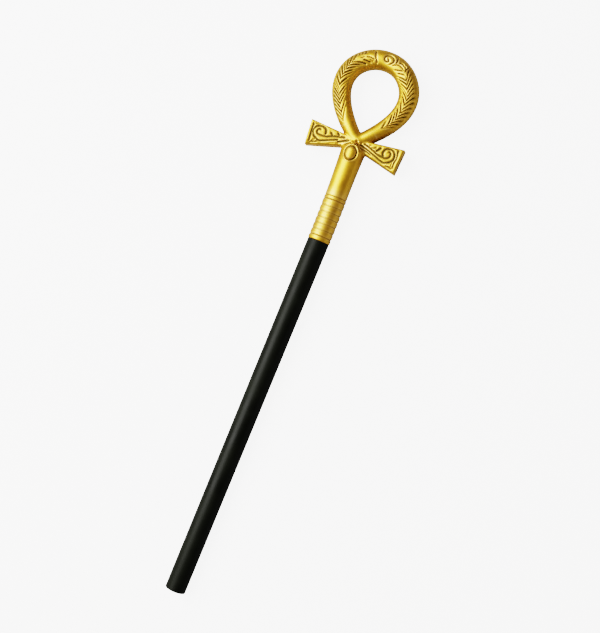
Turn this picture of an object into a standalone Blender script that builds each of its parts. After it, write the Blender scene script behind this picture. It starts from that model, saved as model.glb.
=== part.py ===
"""Ankh staff: a gold plastic ankh head on a black tapered pole, lying on its back.

Metres, +Z up.  The staff lies along X with the ankh towards +X and its carved face up.
Each piece is first built in the staff's own directions: X runs up the staff from the joint
between pole and head, Z points out of the carved face, and Y is across.  The head is built
straight and then bent a little to its left, as the moulding is.  A parent tips the whole staff
until the tip of the pole and the flare of the stem both touch the floor.
"""
import bisect
import math

import bmesh
import bpy
from mathutils import Matrix, Vector

MM = 0.001

# ---- the whole staff ----
OVERALL_LENGTH = 980 * MM
HEAD_BEND = math.radians(1.65)         # the moulding is bent slightly to its left
BEND_LENGTH = 80 * MM                  # over this much of its lower end
FLAT_DEPTH = 0.4 * MM                  # how far the floor flats cut into the round underside
FIT_GAP = 0.3 * MM                     # clearance between the head and the pole

# ---- loop: a teardrop centreline with a round section ----
LOOP_TOP = 325.7 * MM                  # centreline at the top of the loop
LOOP_HALF_HEIGHT = 73.0 * MM           # the centreline comes to a point twice this below its top
LOOP_HALF_WIDTH = 82.9 * MM            # width factor of the teardrop
LOOP_POINT_POWER = 1.18                # how sharply the teardrop closes towards its point
LOOP_SHOULDER = 0.20                   # moves the widest place up or down
LOOP_START = 0.35                      # teardrop angle where the straight feet begin
FOOT_LENGTH = 16.0 * MM                # straight feet that run on into the stem
TUBE_TOP = 17.3 * MM                   # tube radius at the top, the sides and the point
TUBE_SIDE = 16.56 * MM
TUBE_POINT = 11.2 * MM

# ---- fronds carved on the loop: nested barbs that point down towards the arms ----
BARB_PITCH = 8.0 * MM
BARB_DEPTH = 1.0 * MM
BARB_SWEEP = 20.0 * MM                 # how far a barb's ends trail behind its point
RIGHT_FROND = (22 * MM, 150 * MM)      # first and last barb point, from the top of the loop
LEFT_FROND = (42 * MM, 158 * MM)
SPINE_ANGLE = 8.0                      # degrees outwards from the front of the tube
SPINE_DRIFT = 10.0                     # degrees more at the lower end of a frond
DRIFT_START = 95 * MM                  # where that drift begins, from the top of the loop
DRIFT_LENGTH = 60 * MM
BARB_ANGLES = (0.0, 12.5, 25.0, 37.5, 50.0)
BACK_SIDES = 11                        # sides of the tube behind the barbs
TOP_STEPS = 8
FOOT_STEPS = 6

# ---- arms: a flaring plate on each side ----
ARM_REACH = 82.0 * MM                  # middle of the right arm's end edge, from the axis
LEFT_ARM_EXTRA = 2.6 * MM              # how much further the left arm reaches
ARM_LEVEL = 169.2 * MM                 # height of that middle above the joint
ARM_HALF_END = 22.2 * MM
ARM_DROOP = math.radians(4.7)          # the arm's own middle line falls outwards
ARM_FLARE = math.radians(10.4)         # each long edge opens from that line
ARM_HALF_THICK = 11.5 * MM
ARM_ROUNDING = 3.0 * MM
PANEL_DEPTH = 1.4 * MM
END_BORDER = 5.0 * MM
TOP_BORDER = 2.6 * MM
BOTTOM_BORDER = 5.2 * MM
PANEL_START = 17.0 * MM                # inner end of the sunk panel, from the axis
CUT_CLEARANCE = 2.0 * MM               # how far the panels' cutters stand out of the plate

# ---- scroll on each front panel ----
SCROLL_CENTRE = (62.5 * MM, 174.5 * MM)
SCROLL_OUTER = 8.0 * MM                # radius of the curl where it leaves its stem
SCROLL_INNER = 3.2 * MM                # and where it ends
SCROLL_START = math.radians(-105)      # where on the curl the stem joins it
SCROLL_TURN = math.radians(350)
SCROLL_WIRE = 2.1 * MM
SCROLL_STEPS = 22
STEM_ROOT = (21.0 * MM, 173.2 * MM)    # inner end of the scroll's stem
STEM_SAGS = ((0.35, 1.2 * MM), (0.7, 0.84 * MM))   # how far it sags at shares of its length

# ---- stem and collar ----
CREST_RADIUS = 19.5 * MM
GROOVE_RADIUS = 18.4 * MM
RIB_HEIGHTS = (8.3 * MM,) + (10.57 * MM,) * 5 + (11.7 * MM,)
RIB_CREST = 0.35                       # share of a rib's height where its crest begins
RIB_SIDE = 0.12                        # and where its side is half way up
BAND_HEIGHT = 6.1 * MM
BAND_CREST = 0.25
STEM_RADIUS = 19.1 * MM                # just above the collar
STEM_FLARE = 2.1 * MM                  # grown by the top of the stem
STEM_FLARE_POWER = 1.8
STEM_SHOULDER = 162.0 * MM             # where the stem begins to round over
STEM_TOP = 184.0 * MM
STEM_FOOT_GAP = 1.5 * MM               # slope from the collar's top groove up to the stem
STEM_STEPS = 6
SHOULDER_STEPS = 5
STEM_SIDES = 28

# ---- oval boss below the crossing ----
BOSS_LEVEL = 155.5 * MM
BOSS_HALF = (11.4 * MM, 9.2 * MM, 7.0 * MM)
BOSS_CENTRE_OUT = 17.0 * MM
RIM_GAP = 2.6 * MM                     # from the boss edge to the middle of its rim
RIM_WIRE = 1.2 * MM
RIM_STEPS = 28

# ---- pole and the spigot that the head is glued in with ----
POLE_TOP_RADIUS = 18.8 * MM
POLE_TIP_RADIUS = 17.7 * MM
TIP_ROUNDING = 2.0 * MM
TIP_STEPS = 4
POLE_SIDES = 40
SPIGOT_RADIUS = 13.5 * MM
SPIGOT_LENGTH = 30.0 * MM
SPIGOT_CHAMFER = 1.5 * MM


def clear_scene():
    """Remove whatever the open file holds."""
    for old in list(bpy.data.objects):
        bpy.data.objects.remove(old, do_unlink=True)


def new_collection(name):
    """Make a collection and link it to the scene."""
    collection = bpy.data.collections.new(name)
    bpy.context.scene.collection.children.link(collection)
    return collection


def plastic(name, colour, metallic, roughness):
    """A plain Principled material."""
    material = bpy.data.materials.new(name)
    material.use_nodes = True
    shader = material.node_tree.nodes["Principled BSDF"]
    shader.inputs["Base Color"].default_value = (*colour, 1.0)
    shader.inputs["Metallic"].default_value = metallic
    shader.inputs["Roughness"].default_value = roughness
    return material


def add_object(name, mesh, collection, material=None, smooth=True):
    """Link a mesh as an object, shaded smooth except across its sharp edges."""
    if smooth:
        mesh.shade_smooth()
        mesh.set_sharp_from_angle(angle=math.radians(35))
    if material:
        mesh.materials.append(material)
    thing = bpy.data.objects.new(name, mesh)
    collection.objects.link(thing)
    return thing


def mesh_from(bm, name):
    """Turn a bmesh into mesh data, with every face pointing out."""
    bmesh.ops.recalc_face_normals(bm, faces=bm.faces)
    mesh = bpy.data.meshes.new(name)
    bm.to_mesh(mesh)
    bm.free()
    return mesh


def as_cutter(thing):
    """Mark an object as a tool that shapes others."""
    thing.hide_render = True
    thing.display_type = "WIRE"


def combine(target, tool, operation, self_crossing=False):
    """Join a tool to an object, or cut it away."""
    modifier = target.modifiers.new(f"{operation.lower()} {tool.name}", "BOOLEAN")
    modifier.operation = operation
    modifier.solver = "EXACT"
    modifier.use_self = self_crossing
    modifier.object = tool
    as_cutter(tool)


def bent(point):
    """Carry a point of the straight head to its place on the bent one."""
    radius = BEND_LENGTH / HEAD_BEND
    angle = min(max(point.x, 0.0), BEND_LENGTH) / radius
    beyond = point.x if point.x < 0 else max(point.x - BEND_LENGTH, 0.0)
    along = radius * math.sin(angle) + beyond * math.cos(angle) - point.y * math.sin(angle)
    aside = radius * (1 - math.cos(angle)) + beyond * math.sin(angle) + point.y * math.cos(angle)
    return Vector((along, aside, point.z))


POLE_LENGTH = OVERALL_LENGTH - bent(Vector((LOOP_TOP + TUBE_TOP, 0.0, 0.0))).x


# ---------------------------------------------------------------- turned pieces

def turned(name, profile, sides, collection, material=None):
    """Turn a profile of (height, radius) points about the staff's axis.

    The points run down the outer side from the top of the piece to its bottom.
    """
    mesh = bpy.data.meshes.new(name)
    points = [(radius, 0.0, height) for height, radius in profile]
    edges = [(i, i + 1) for i in range(len(points) - 1)]
    mesh.from_pydata(points, edges, [])
    thing = add_object(name, mesh, collection, material, smooth=False)
    screw = thing.modifiers.new("turn", "SCREW")
    screw.angle = math.tau
    screw.steps = sides
    screw.render_steps = sides
    screw.use_merge_vertices = True
    screw.merge_threshold = 0.00001
    screw.use_smooth_shade = True
    turned_mesh = baked(thing)
    # the profile is drawn up Z: lay it along the staff
    turned_mesh.transform(Matrix.Rotation(math.radians(90), 4, "Y"))
    return add_object(name, turned_mesh, collection, material)


def baked(thing):
    """Return an object's mesh with its modifiers applied and remove the object."""
    bpy.context.view_layer.update()
    evaluated = thing.evaluated_get(bpy.context.evaluated_depsgraph_get())
    mesh = bpy.data.meshes.new_from_object(evaluated)
    bpy.data.objects.remove(thing, do_unlink=True)
    return mesh


def rib_profile():
    """Collar outline from its top down: the narrow band, then the rounded ribs."""
    top = sum(RIB_HEIGHTS)
    middle = (CREST_RADIUS + GROOVE_RADIUS) / 2
    points = [
        (top + BAND_HEIGHT, GROOVE_RADIUS),
        (top + BAND_HEIGHT * (1 - BAND_CREST), CREST_RADIUS),
        (top + BAND_HEIGHT * BAND_CREST, CREST_RADIUS),
    ]
    for height in reversed(RIB_HEIGHTS):
        points.append((top, GROOVE_RADIUS))
        top -= height
        points.append((top + height * (1 - RIB_SIDE), middle))
        points.append((top + height * (1 - RIB_CREST), CREST_RADIUS))
        points.append((top + height * RIB_CREST, CREST_RADIUS))
        points.append((top + height * RIB_SIDE, middle))
    points.append((0.0, GROOVE_RADIUS))
    return points


def stem_radius(height):
    """Radius of the plain stem, which flares towards the crossing."""
    start = sum(RIB_HEIGHTS) + BAND_HEIGHT
    along = max(0.0, (height - start) / (STEM_SHOULDER - start))
    return STEM_RADIUS + STEM_FLARE * along ** STEM_FLARE_POWER


def stem_profile():
    """Outline of shoulder, stem, collar and spigot, from the top down."""
    points = [(STEM_TOP, 0.0)]
    for i in range(1, SHOULDER_STEPS):
        angle = math.radians(90) * (1 - i / SHOULDER_STEPS)
        height = STEM_SHOULDER + (STEM_TOP - STEM_SHOULDER) * math.sin(angle)
        points.append((height, stem_radius(STEM_SHOULDER) * math.cos(angle)))
    stem_foot = sum(RIB_HEIGHTS) + BAND_HEIGHT + STEM_FOOT_GAP
    for i in range(STEM_STEPS):
        height = STEM_SHOULDER + (stem_foot - STEM_SHOULDER) * i / (STEM_STEPS - 1)
        points.append((height, stem_radius(height)))
    points += rib_profile()
    points.append((0.0, SPIGOT_RADIUS))
    points.append((-SPIGOT_LENGTH + SPIGOT_CHAMFER, SPIGOT_RADIUS))
    points.append((-SPIGOT_LENGTH, SPIGOT_RADIUS - SPIGOT_CHAMFER))
    points.append((-SPIGOT_LENGTH, 0.0))
    return points


def pole_profile():
    """Outline of the pole from the bottom of its bore, over the top and down to the tip."""
    bore = SPIGOT_RADIUS + FIT_GAP
    bore_end = -SPIGOT_LENGTH - FIT_GAP
    points = [(bore_end, 0.0), (bore_end, bore), (-FIT_GAP, bore), (-FIT_GAP, POLE_TOP_RADIUS)]
    for i in range(TIP_STEPS + 1):
        angle = math.radians(90) * i / TIP_STEPS
        height = -POLE_LENGTH + TIP_ROUNDING * (1 - math.sin(angle))
        radius = POLE_TIP_RADIUS - TIP_ROUNDING * (1 - math.cos(angle))
        points.append((height, radius))
    points.append((-POLE_LENGTH, 0.0))
    return points


# ---------------------------------------------------------------- loop

def teardrop(angle):
    """Centreline of the loop as (across, up).  Half a turn is its top."""
    narrowing = math.sin(angle / 2) ** LOOP_POINT_POWER
    shoulder = 1 + LOOP_SHOULDER * math.cos(angle)
    across = LOOP_HALF_WIDTH * math.sin(angle) * narrowing * shoulder
    up = LOOP_TOP - LOOP_HALF_HEIGHT * (1 + math.cos(angle))
    return Vector((across, up))


def tube_radius(angle):
    """Tube radius, from its three named sizes at the top, the sides and the point."""
    low = (1 + math.cos(angle)) / 2
    bend = 2 * (TUBE_TOP + TUBE_POINT - 2 * TUBE_SIDE)
    slope = 4 * TUBE_SIDE - 3 * TUBE_TOP - TUBE_POINT
    return TUBE_TOP + slope * low + bend * low * low


def measured_loop():
    """List (distance from the top, centre, radius) down one side of the loop."""
    steps = 400
    stations = []
    distance = 0.0
    previous = teardrop(math.pi)
    for i in range(steps + 1):
        angle = math.pi + (LOOP_START - math.pi) * i / steps
        centre = teardrop(angle)
        distance += (centre - previous).length
        stations.append((distance, centre, tube_radius(angle)))
        previous = centre
    heading = (stations[-1][1] - stations[-2][1]).normalized()
    foot = stations[-1][1] + heading * FOOT_LENGTH
    stations.append((distance + FOOT_LENGTH, foot, stations[-1][2]))
    return stations


STATIONS = measured_loop()
DISTANCES = [station[0] for station in STATIONS]
LOOP_END = DISTANCES[-1]


def loop_at(along):
    """Centre, outward direction and radius at a signed distance from the top, right positive."""
    side = 1.0 if along >= 0 else -1.0
    distance = min(abs(along), LOOP_END)
    index = min(max(bisect.bisect_right(DISTANCES, distance), 1), len(STATIONS) - 1)
    near, far = STATIONS[index - 1], STATIONS[index]
    share = (distance - near[0]) / (far[0] - near[0])
    centre = near[1].lerp(far[1], share)
    heading = (far[1] - near[1]).normalized()
    outward = Vector((-heading.y, heading.x))
    radius = near[2] + (far[2] - near[2]) * share
    return Vector((centre.x * side, centre.y)), Vector((outward.x * side, outward.y)), radius


def loop_rings():
    """Rings of the loop as (spine distance, back distance, depth of the groove).

    A plain ring stands square on the tube.  Along a frond each ring is drawn out into a barb, so
    that its back trails towards the top of the loop, and every second one is cut as a groove.
    """
    keys = [
        (-LOOP_END, -LOOP_END, FOOT_STEPS),
        (-LEFT_FROND[1], -LEFT_FROND[1] + BARB_SWEEP, None),
        (-LEFT_FROND[0], -LEFT_FROND[0] + BARB_SWEEP, TOP_STEPS),
        (RIGHT_FROND[0], RIGHT_FROND[0] - BARB_SWEEP, None),
        (RIGHT_FROND[1], RIGHT_FROND[1] - BARB_SWEEP, FOOT_STEPS),
        (LOOP_END, LOOP_END, 0),
    ]
    rings = []
    for (spine, back, steps), (next_spine, next_back, _) in zip(keys, keys[1:]):
        frond = steps is None
        if frond:
            steps = 2 * round((next_spine - spine) / BARB_PITCH)
        for i in range(steps):
            share = i / steps
            depth = BARB_DEPTH if frond and i % 2 else 0.0
            rings.append((spine + (next_spine - spine) * share, back + (next_back - back) * share, depth))
    rings.append(keys[-1][:2] + (0.0,))
    return rings


def section_angles():
    """Angles round the tube, from the spine: the barbs in front and plain sides behind."""
    reach = BARB_ANGLES[-1]
    front = [-angle for angle in reversed(BARB_ANGLES[1:])] + list(BARB_ANGLES)
    behind = 360 - 2 * reach
    return front + [reach + behind * (i + 1) / (BACK_SIDES + 1) for i in range(BACK_SIDES)]


def spine_angle(spine):
    """The spine leaves the front of the tube a little further towards the loop's point."""
    share = min(max((abs(spine) - DRIFT_START) / DRIFT_LENGTH, 0.0), 1.0)
    return SPINE_ANGLE + SPINE_DRIFT * share


def ring_point(ring, angle):
    """One point of a ring, at an angle in degrees outwards from the spine."""
    spine, back, depth = ring
    reach = BARB_ANGLES[-1]
    turned_by = min(angle, 360 - angle) if angle > 0 else -angle
    trail = min(1.0, turned_by / reach)
    centre, outward, radius = loop_at(spine + (back - spine) * trail)
    if turned_by < reach:
        radius -= depth
    around = math.radians(spine_angle(spine) + angle)
    across = centre.x + outward.x * radius * math.sin(around)
    up = centre.y + outward.y * radius * math.sin(around)
    return Vector((up, -across, radius * math.cos(around)))


def loop_mesh():
    """Loft the rings into one closed tube."""
    bm = bmesh.new()
    angles = section_angles()
    loops = []
    for ring in loop_rings():
        loops.append([bm.verts.new(ring_point(ring, angle)) for angle in angles])
    for near, far in zip(loops, loops[1:]):
        for i in range(len(angles)):
            j = (i + 1) % len(angles)
            bm.faces.new((near[i], near[j], far[j], far[i]))
    bm.faces.new(loops[0])
    bm.faces.new(loops[-1])
    return mesh_from(bm, "loop")


# ---------------------------------------------------------------- arms

def arm_frame():
    """Middle of the arm's end edge, direction along the arm and direction up its end."""
    along = Vector((math.cos(ARM_DROOP), -math.sin(ARM_DROOP)))
    up = Vector((math.sin(ARM_DROOP), math.cos(ARM_DROOP)))
    return Vector((ARM_REACH, ARM_LEVEL)), along, up


def edge_point(across, half_end, flare_sign, end_inset=0.0):
    """Where a long edge of the arm stands at a distance from the staff's axis."""
    middle, along, up = arm_frame()
    corner = middle + up * half_end * flare_sign
    direction = along * math.cos(ARM_FLARE) + up * math.sin(ARM_FLARE) * flare_sign
    if across is None:
        return corner - direction * end_inset
    return corner + direction * ((across - corner.x) / direction.x)


def arm_outline():
    """Outline of both arms together as (across, up) points, narrowest on the axis."""
    right = [edge_point(0.0, ARM_HALF_END, 1), edge_point(None, ARM_HALF_END, 1)]
    right += [edge_point(None, ARM_HALF_END, -1), edge_point(0.0, ARM_HALF_END, -1)]
    left = [Vector((-point.x - LEFT_ARM_EXTRA, point.y)) for point in reversed(right[1:3])]
    return right + left


def panel_outline():
    """Outline of one sunk panel on the right arm as (across, up) points."""
    top = ARM_HALF_END - TOP_BORDER / math.cos(ARM_FLARE)
    bottom = ARM_HALF_END - BOTTOM_BORDER / math.cos(ARM_FLARE)
    return [
        edge_point(PANEL_START, top, 1),
        edge_point(None, top, 1, END_BORDER),
        edge_point(None, bottom, -1, END_BORDER),
        edge_point(PANEL_START, bottom, -1),
    ]


def prism(bm, outline, low, high):
    """Add a straight prism between two heights over an outline of (across, up) points."""
    bottom = [bm.verts.new((point.y, -point.x, low)) for point in outline]
    face = bm.faces.new(bottom)
    raised = bmesh.ops.extrude_face_region(bm, geom=[face])["geom"]
    for item in raised:
        if isinstance(item, bmesh.types.BMVert):
            item.co.z = high


def build_arms(collection):
    """The plate of both arms, with rounded edges."""
    bm = bmesh.new()
    prism(bm, arm_outline(), -ARM_HALF_THICK, ARM_HALF_THICK)
    arms = add_object("arms", mesh_from(bm, "arms"), collection, smooth=False)
    bevel = arms.modifiers.new("rounded edges", "BEVEL")
    bevel.width = ARM_ROUNDING
    bevel.segments = 3
    bevel.limit_method = "ANGLE"
    bevel.angle_limit = math.radians(40)
    return arms


def build_panels(collection):
    """Cutters for the sunk panels, front and back of both arms."""
    bm = bmesh.new()
    outline = panel_outline()
    mirrored = [Vector((-point.x - LEFT_ARM_EXTRA, point.y)) for point in outline]
    floor = ARM_HALF_THICK - PANEL_DEPTH
    clear = ARM_HALF_THICK + CUT_CLEARANCE
    for shape in (outline, mirrored):
        prism(bm, shape, floor, clear)
        prism(bm, shape, -clear, -floor)
    return add_object("panels", mesh_from(bm, "panels"), collection, smooth=False)


def scroll_path():
    """Line of the scroll on the right arm: a stem along the panel that curls up at its end."""
    centre = Vector(SCROLL_CENTRE)
    points = []
    for i in range(SCROLL_STEPS + 1):
        share = i / SCROLL_STEPS
        radius = SCROLL_OUTER + (SCROLL_INNER - SCROLL_OUTER) * share
        angle = SCROLL_START + SCROLL_TURN * share
        points.append(centre + Vector((math.cos(angle), math.sin(angle))) * radius)
    root = Vector(STEM_ROOT)
    sagging = [root.lerp(points[0], share) - Vector((0.0, sag)) for share, sag in STEM_SAGS]
    return [root] + sagging + points


# ---------------------------------------------------------------- rods along a path

def rod(name, points, radius, closed, collection):
    """A round rod along a path of world points, as a closed mesh."""
    curve = bpy.data.curves.new(name, "CURVE")
    curve.dimensions = "3D"
    curve.bevel_depth = radius
    curve.bevel_resolution = 1
    curve.use_fill_caps = not closed
    spline = curve.splines.new("POLY")
    spline.points.add(len(points) - 1)
    for target, point in zip(spline.points, points):
        target.co = (*point, 1.0)
    spline.use_cyclic_u = closed
    thing = bpy.data.objects.new(name, curve)
    collection.objects.link(thing)
    mesh = baked(thing)
    bm = bmesh.new()
    bm.from_mesh(mesh)
    bmesh.ops.remove_doubles(bm, verts=bm.verts, dist=0.00001)
    return add_object(name, mesh_from(bm, name), collection, smooth=False)


def build_scroll(side, collection):
    """The raised scroll on one arm's front panel."""
    height = ARM_HALF_THICK - PANEL_DEPTH
    further = 0.0 if side > 0 else LEFT_ARM_EXTRA
    points = [Vector((point.y, -side * (point.x + further), height)) for point in scroll_path()]
    name = "scroll right" if side > 0 else "scroll left"
    return rod(name, points, SCROLL_WIRE, False, collection)


def build_rim(collection):
    """The thin oval rim round the boss, laid on the stem's round front."""
    points = []
    half_up = BOSS_HALF[0] + RIM_GAP
    half_across = BOSS_HALF[1] + RIM_GAP
    for i in range(RIM_STEPS):
        angle = math.tau * i / RIM_STEPS
        up = BOSS_LEVEL + half_up * math.cos(angle)
        across = half_across * math.sin(angle)
        radius = stem_radius(min(up, STEM_SHOULDER))
        if up > STEM_SHOULDER:
            fall = (up - STEM_SHOULDER) / (STEM_TOP - STEM_SHOULDER)
            radius *= math.sqrt(1 - fall * fall)
        points.append(Vector((up, across, math.sqrt(radius ** 2 - across ** 2))))
    return rod("boss rim", points, RIM_WIRE, True, collection)


def build_boss(collection):
    """The oval boss, an egg half sunk in the front of the stem."""
    bm = bmesh.new()
    bmesh.ops.create_uvsphere(bm, u_segments=20, v_segments=12, radius=1.0)
    bmesh.ops.scale(bm, vec=BOSS_HALF, verts=bm.verts)
    bmesh.ops.translate(bm, vec=(BOSS_LEVEL, 0.0, BOSS_CENTRE_OUT), verts=bm.verts)
    return add_object("boss", mesh_from(bm, "boss"), collection)


# ---------------------------------------------------------------- assembly

def build_head(parts, tools, gold):
    """The gold moulding: stem and collar joined with the arms, the loop and the carving."""
    stem = turned("stem", stem_profile(), STEM_SIDES, tools)
    combine(stem, build_arms(tools), "UNION")
    combine(stem, build_panels(tools), "DIFFERENCE")
    for side in (1, -1):
        combine(stem, build_scroll(side, tools), "UNION")
    loop = add_object("loop", loop_mesh(), tools)
    combine(stem, loop, "UNION", self_crossing=True)
    combine(stem, build_boss(tools), "UNION")
    combine(stem, build_rim(tools), "UNION")
    mesh = baked(stem)
    for tool in list(tools.objects):
        bpy.data.objects.remove(tool, do_unlink=True)
    for vertex in mesh.vertices:
        vertex.co = bent(vertex.co)
    return add_object("ankh_head", mesh, parts, gold)


def build_floor(tools):
    """A block whose top is the floor: it cuts the small flats that keep the staff from rolling."""
    size = 2 * OVERALL_LENGTH
    bm = bmesh.new()
    bmesh.ops.create_cube(bm, size=size)
    bmesh.ops.translate(bm, vec=(0.0, 0.0, -size / 2), verts=bm.verts)
    floor = add_object("floor block", mesh_from(bm, "floor block"), tools, smooth=False)
    as_cutter(floor)
    return floor


def lay_down(pieces, collection):
    """Tip the staff so that the tip of the pole and the flare of the stem reach the floor."""
    rise = stem_radius(STEM_SHOULDER) - POLE_TIP_RADIUS
    tilt = math.atan2(rise, POLE_LENGTH + STEM_SHOULDER)
    axis = bpy.data.objects.new("staff axis", None)
    collection.objects.link(axis)
    height = POLE_TIP_RADIUS - FLAT_DEPTH + math.sin(tilt) * POLE_LENGTH
    axis.location = (0.0, 0.0, height)
    axis.rotation_euler = (0.0, -tilt, 0.0)
    for piece in pieces:
        piece.parent = axis
    return axis


def centre_on_origin(axis, things):
    """Move the staff level with the floor so that its box is centred on the origin."""
    bpy.context.view_layer.update()
    corners = []
    for thing in things:
        evaluated = thing.evaluated_get(bpy.context.evaluated_depsgraph_get())
        corners += [evaluated.matrix_world @ vertex.co for vertex in evaluated.data.vertices]
    for i in (0, 1):
        middle = (min(c[i] for c in corners) + max(c[i] for c in corners)) / 2
        axis.location[i] -= middle


def main():
    clear_scene()
    parts = new_collection("ankh staff")
    tools = new_collection("tools")
    gold = plastic("gold paint", (0.72, 0.47, 0.08), 0.85, 0.32)
    black = plastic("black plastic", (0.016, 0.016, 0.015), 0.0, 0.5)
    head = build_head(parts, tools, gold)
    pole = turned("pole", pole_profile(), POLE_SIDES, parts, black)
    axis = lay_down((head, pole), parts)
    floor = build_floor(tools)
    combine(head, floor, "DIFFERENCE")
    combine(pole, floor, "DIFFERENCE")
    centre_on_origin(axis, (head, pole))


main()
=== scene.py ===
"""Ankh staff: the finish of the gold ankh head and its black pole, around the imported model.

Metres, +Z up.  The staff lies on its back with the ankh towards +X and its carved face up.
"""
import math

import bmesh
import bpy
import numpy as np
from mathutils import Matrix, Vector


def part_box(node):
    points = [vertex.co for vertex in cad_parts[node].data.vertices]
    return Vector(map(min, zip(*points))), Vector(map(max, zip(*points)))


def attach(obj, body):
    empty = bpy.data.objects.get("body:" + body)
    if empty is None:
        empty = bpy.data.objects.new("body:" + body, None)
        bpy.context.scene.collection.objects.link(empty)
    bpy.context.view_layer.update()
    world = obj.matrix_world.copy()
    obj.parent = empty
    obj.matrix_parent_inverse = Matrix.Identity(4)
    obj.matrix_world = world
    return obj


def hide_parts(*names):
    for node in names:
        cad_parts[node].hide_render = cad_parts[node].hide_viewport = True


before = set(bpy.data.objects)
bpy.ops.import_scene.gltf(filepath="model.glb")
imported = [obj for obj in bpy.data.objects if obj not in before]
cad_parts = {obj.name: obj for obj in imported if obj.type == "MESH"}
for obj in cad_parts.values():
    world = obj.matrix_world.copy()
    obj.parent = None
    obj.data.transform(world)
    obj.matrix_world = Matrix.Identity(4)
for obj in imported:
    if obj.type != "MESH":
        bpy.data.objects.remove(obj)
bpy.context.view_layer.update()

# ---------------------------------------- pole
# One black plastic rod, slightly tapered, satin from the mould and lightly scuffed.  The spigot of
# the head is glued into the bore in its upper end.  A shallow flat near its rounded tip keeps the
# lying staff from rolling.

MM = 0.001
POLE_TOP_RADIUS = 18.8 * MM
POLE_TIP_RADIUS = 17.7 * MM
TIP_ROUNDING = 2.0 * MM
RIM_ROUNDING = 0.4 * MM
FLAT_DEPTH = 0.4 * MM
FIT_GAP = 0.3 * MM                     # between the head and the pole
SPIGOT_RADIUS = 13.5 * MM
SPIGOT_LENGTH = 30.0 * MM
POLE_SIDES = 96

# The staff's own directions, which every mesh below is first made in: X runs up the staff from
# the joint between pole and head, Y to its left and Z out of the carved face.
pole_low, pole_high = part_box("pole")
tip_height = POLE_TIP_RADIUS - FLAT_DEPTH
joint_height = pole_high.z - POLE_TOP_RADIUS
tilt = math.atan2(joint_height - tip_height, pole_high.x - pole_low.x)
joint_x = pole_high.x + FIT_GAP - POLE_TOP_RADIUS * math.sin(tilt)
joint = Vector((joint_x, (pole_low.y + pole_high.y) / 2, joint_height))
lie = Matrix.Translation(joint) @ Matrix.Rotation(-tilt, 4, "Y")
tip_lean = (POLE_TIP_RADIUS - TIP_ROUNDING) * math.tan(tilt)
POLE_LENGTH = (joint.x - pole_low.x) / math.cos(tilt) - tip_lean


def pick(kind, test):
    """In edit mode, select only the verts, edges or faces that pass a test."""
    bpy.ops.mesh.select_mode(type=kind)
    bpy.ops.mesh.select_all(action="DESELECT")
    mesh = bpy.context.object.data
    bm = bmesh.from_edit_mesh(mesh)
    for item in {"VERT": bm.verts, "EDGE": bm.edges, "FACE": bm.faces}[kind]:
        item.select_set(bool(test(item)))
    bm.select_flush_mode()
    bmesh.update_edit_mesh(mesh)


def middle(edge):
    """The middle of an edge."""
    return (edge.verts[0].co + edge.verts[1].co) / 2


def new_piece(name):
    """Name the primitive that was just added and set its place in its mesh."""
    piece = bpy.context.object
    piece.name = name
    bpy.ops.object.transform_apply(location=True, rotation=True, scale=True)
    return piece


def trim_at_floor(piece):
    """Cut off what would sink into the floor, which leaves a flat to rest on."""
    bpy.ops.object.select_all(action="DESELECT")
    piece.select_set(True)
    bpy.context.view_layer.objects.active = piece
    bpy.ops.object.mode_set(mode="EDIT")
    bpy.ops.mesh.select_all(action="SELECT")
    bpy.ops.mesh.bisect(
        plane_co=(0, 0, 0),
        plane_no=(0, 0, 1),
        use_fill=True,
        clear_inner=True,
        threshold=0.000001,
    )
    bpy.ops.object.mode_set(mode="OBJECT")


bpy.ops.object.select_all(action="DESELECT")
bpy.ops.mesh.primitive_cylinder_add(
    vertices=POLE_SIDES,
    radius=POLE_TOP_RADIUS,
    depth=POLE_LENGTH - FIT_GAP,
    end_fill_type="NGON",
    location=(-(POLE_LENGTH + FIT_GAP) / 2, 0, 0),
    rotation=(0, math.radians(90), 0),
)
pole = new_piece("pole_black")
bpy.ops.object.mode_set(mode="EDIT")
pick("FACE", lambda face: face.normal.x < -0.9)
taper = POLE_TIP_RADIUS / POLE_TOP_RADIUS
bpy.ops.transform.resize(value=(1, taper, taper), center_override=(-POLE_LENGTH, 0, 0))
pick("EDGE", lambda edge: middle(edge).x < -POLE_LENGTH + FIT_GAP)
bpy.ops.mesh.bevel(offset=TIP_ROUNDING, segments=6)
pick("EDGE", lambda edge: middle(edge).x > -2 * FIT_GAP)
bpy.ops.mesh.bevel(offset=RIM_ROUNDING, segments=3)
pick("FACE", lambda face: face.normal.x > 0.9 and len(face.verts) > 4)
bpy.ops.mesh.inset(thickness=POLE_TOP_RADIUS - RIM_ROUNDING - SPIGOT_RADIUS - FIT_GAP)
bpy.ops.mesh.extrude_region_move(TRANSFORM_OT_translate={"value": (-SPIGOT_LENGTH, 0, 0)})
bpy.ops.object.mode_set(mode="OBJECT")
pole.data.transform(lie)
trim_at_floor(pole)
bpy.ops.object.shade_smooth_by_angle(angle=math.radians(30))


def new_finish(name):
    """A new material, with its node tree and its Principled BSDF."""
    material = bpy.data.materials.new(name)
    material.use_nodes = True
    return material, material.node_tree, material.node_tree.nodes["Principled BSDF"]


def add(tree, kind, sockets=None, **settings):
    """Add a node, set it up, and give each named input its value or the output that feeds it."""
    node = tree.nodes.new(kind)
    for setting, value in settings.items():
        setattr(node, setting, value)
    for socket, value in (sockets or {}).items():
        if isinstance(value, bpy.types.NodeSocket):
            tree.links.new(value, node.inputs[socket])
        else:
            node.inputs[socket].default_value = value
    return node


def two_tones(tree, factor, low, dark, high, pale):
    """A colour that runs from dark to pale while its factor runs from low to high."""
    tones = add(tree, "ShaderNodeValToRGB", {"Fac": factor})
    for stop, place, colour in zip(tones.color_ramp.elements, (low, high), (dark, pale)):
        stop.position = place
        stop.color = colour
    return tones.outputs["Color"]


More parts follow.
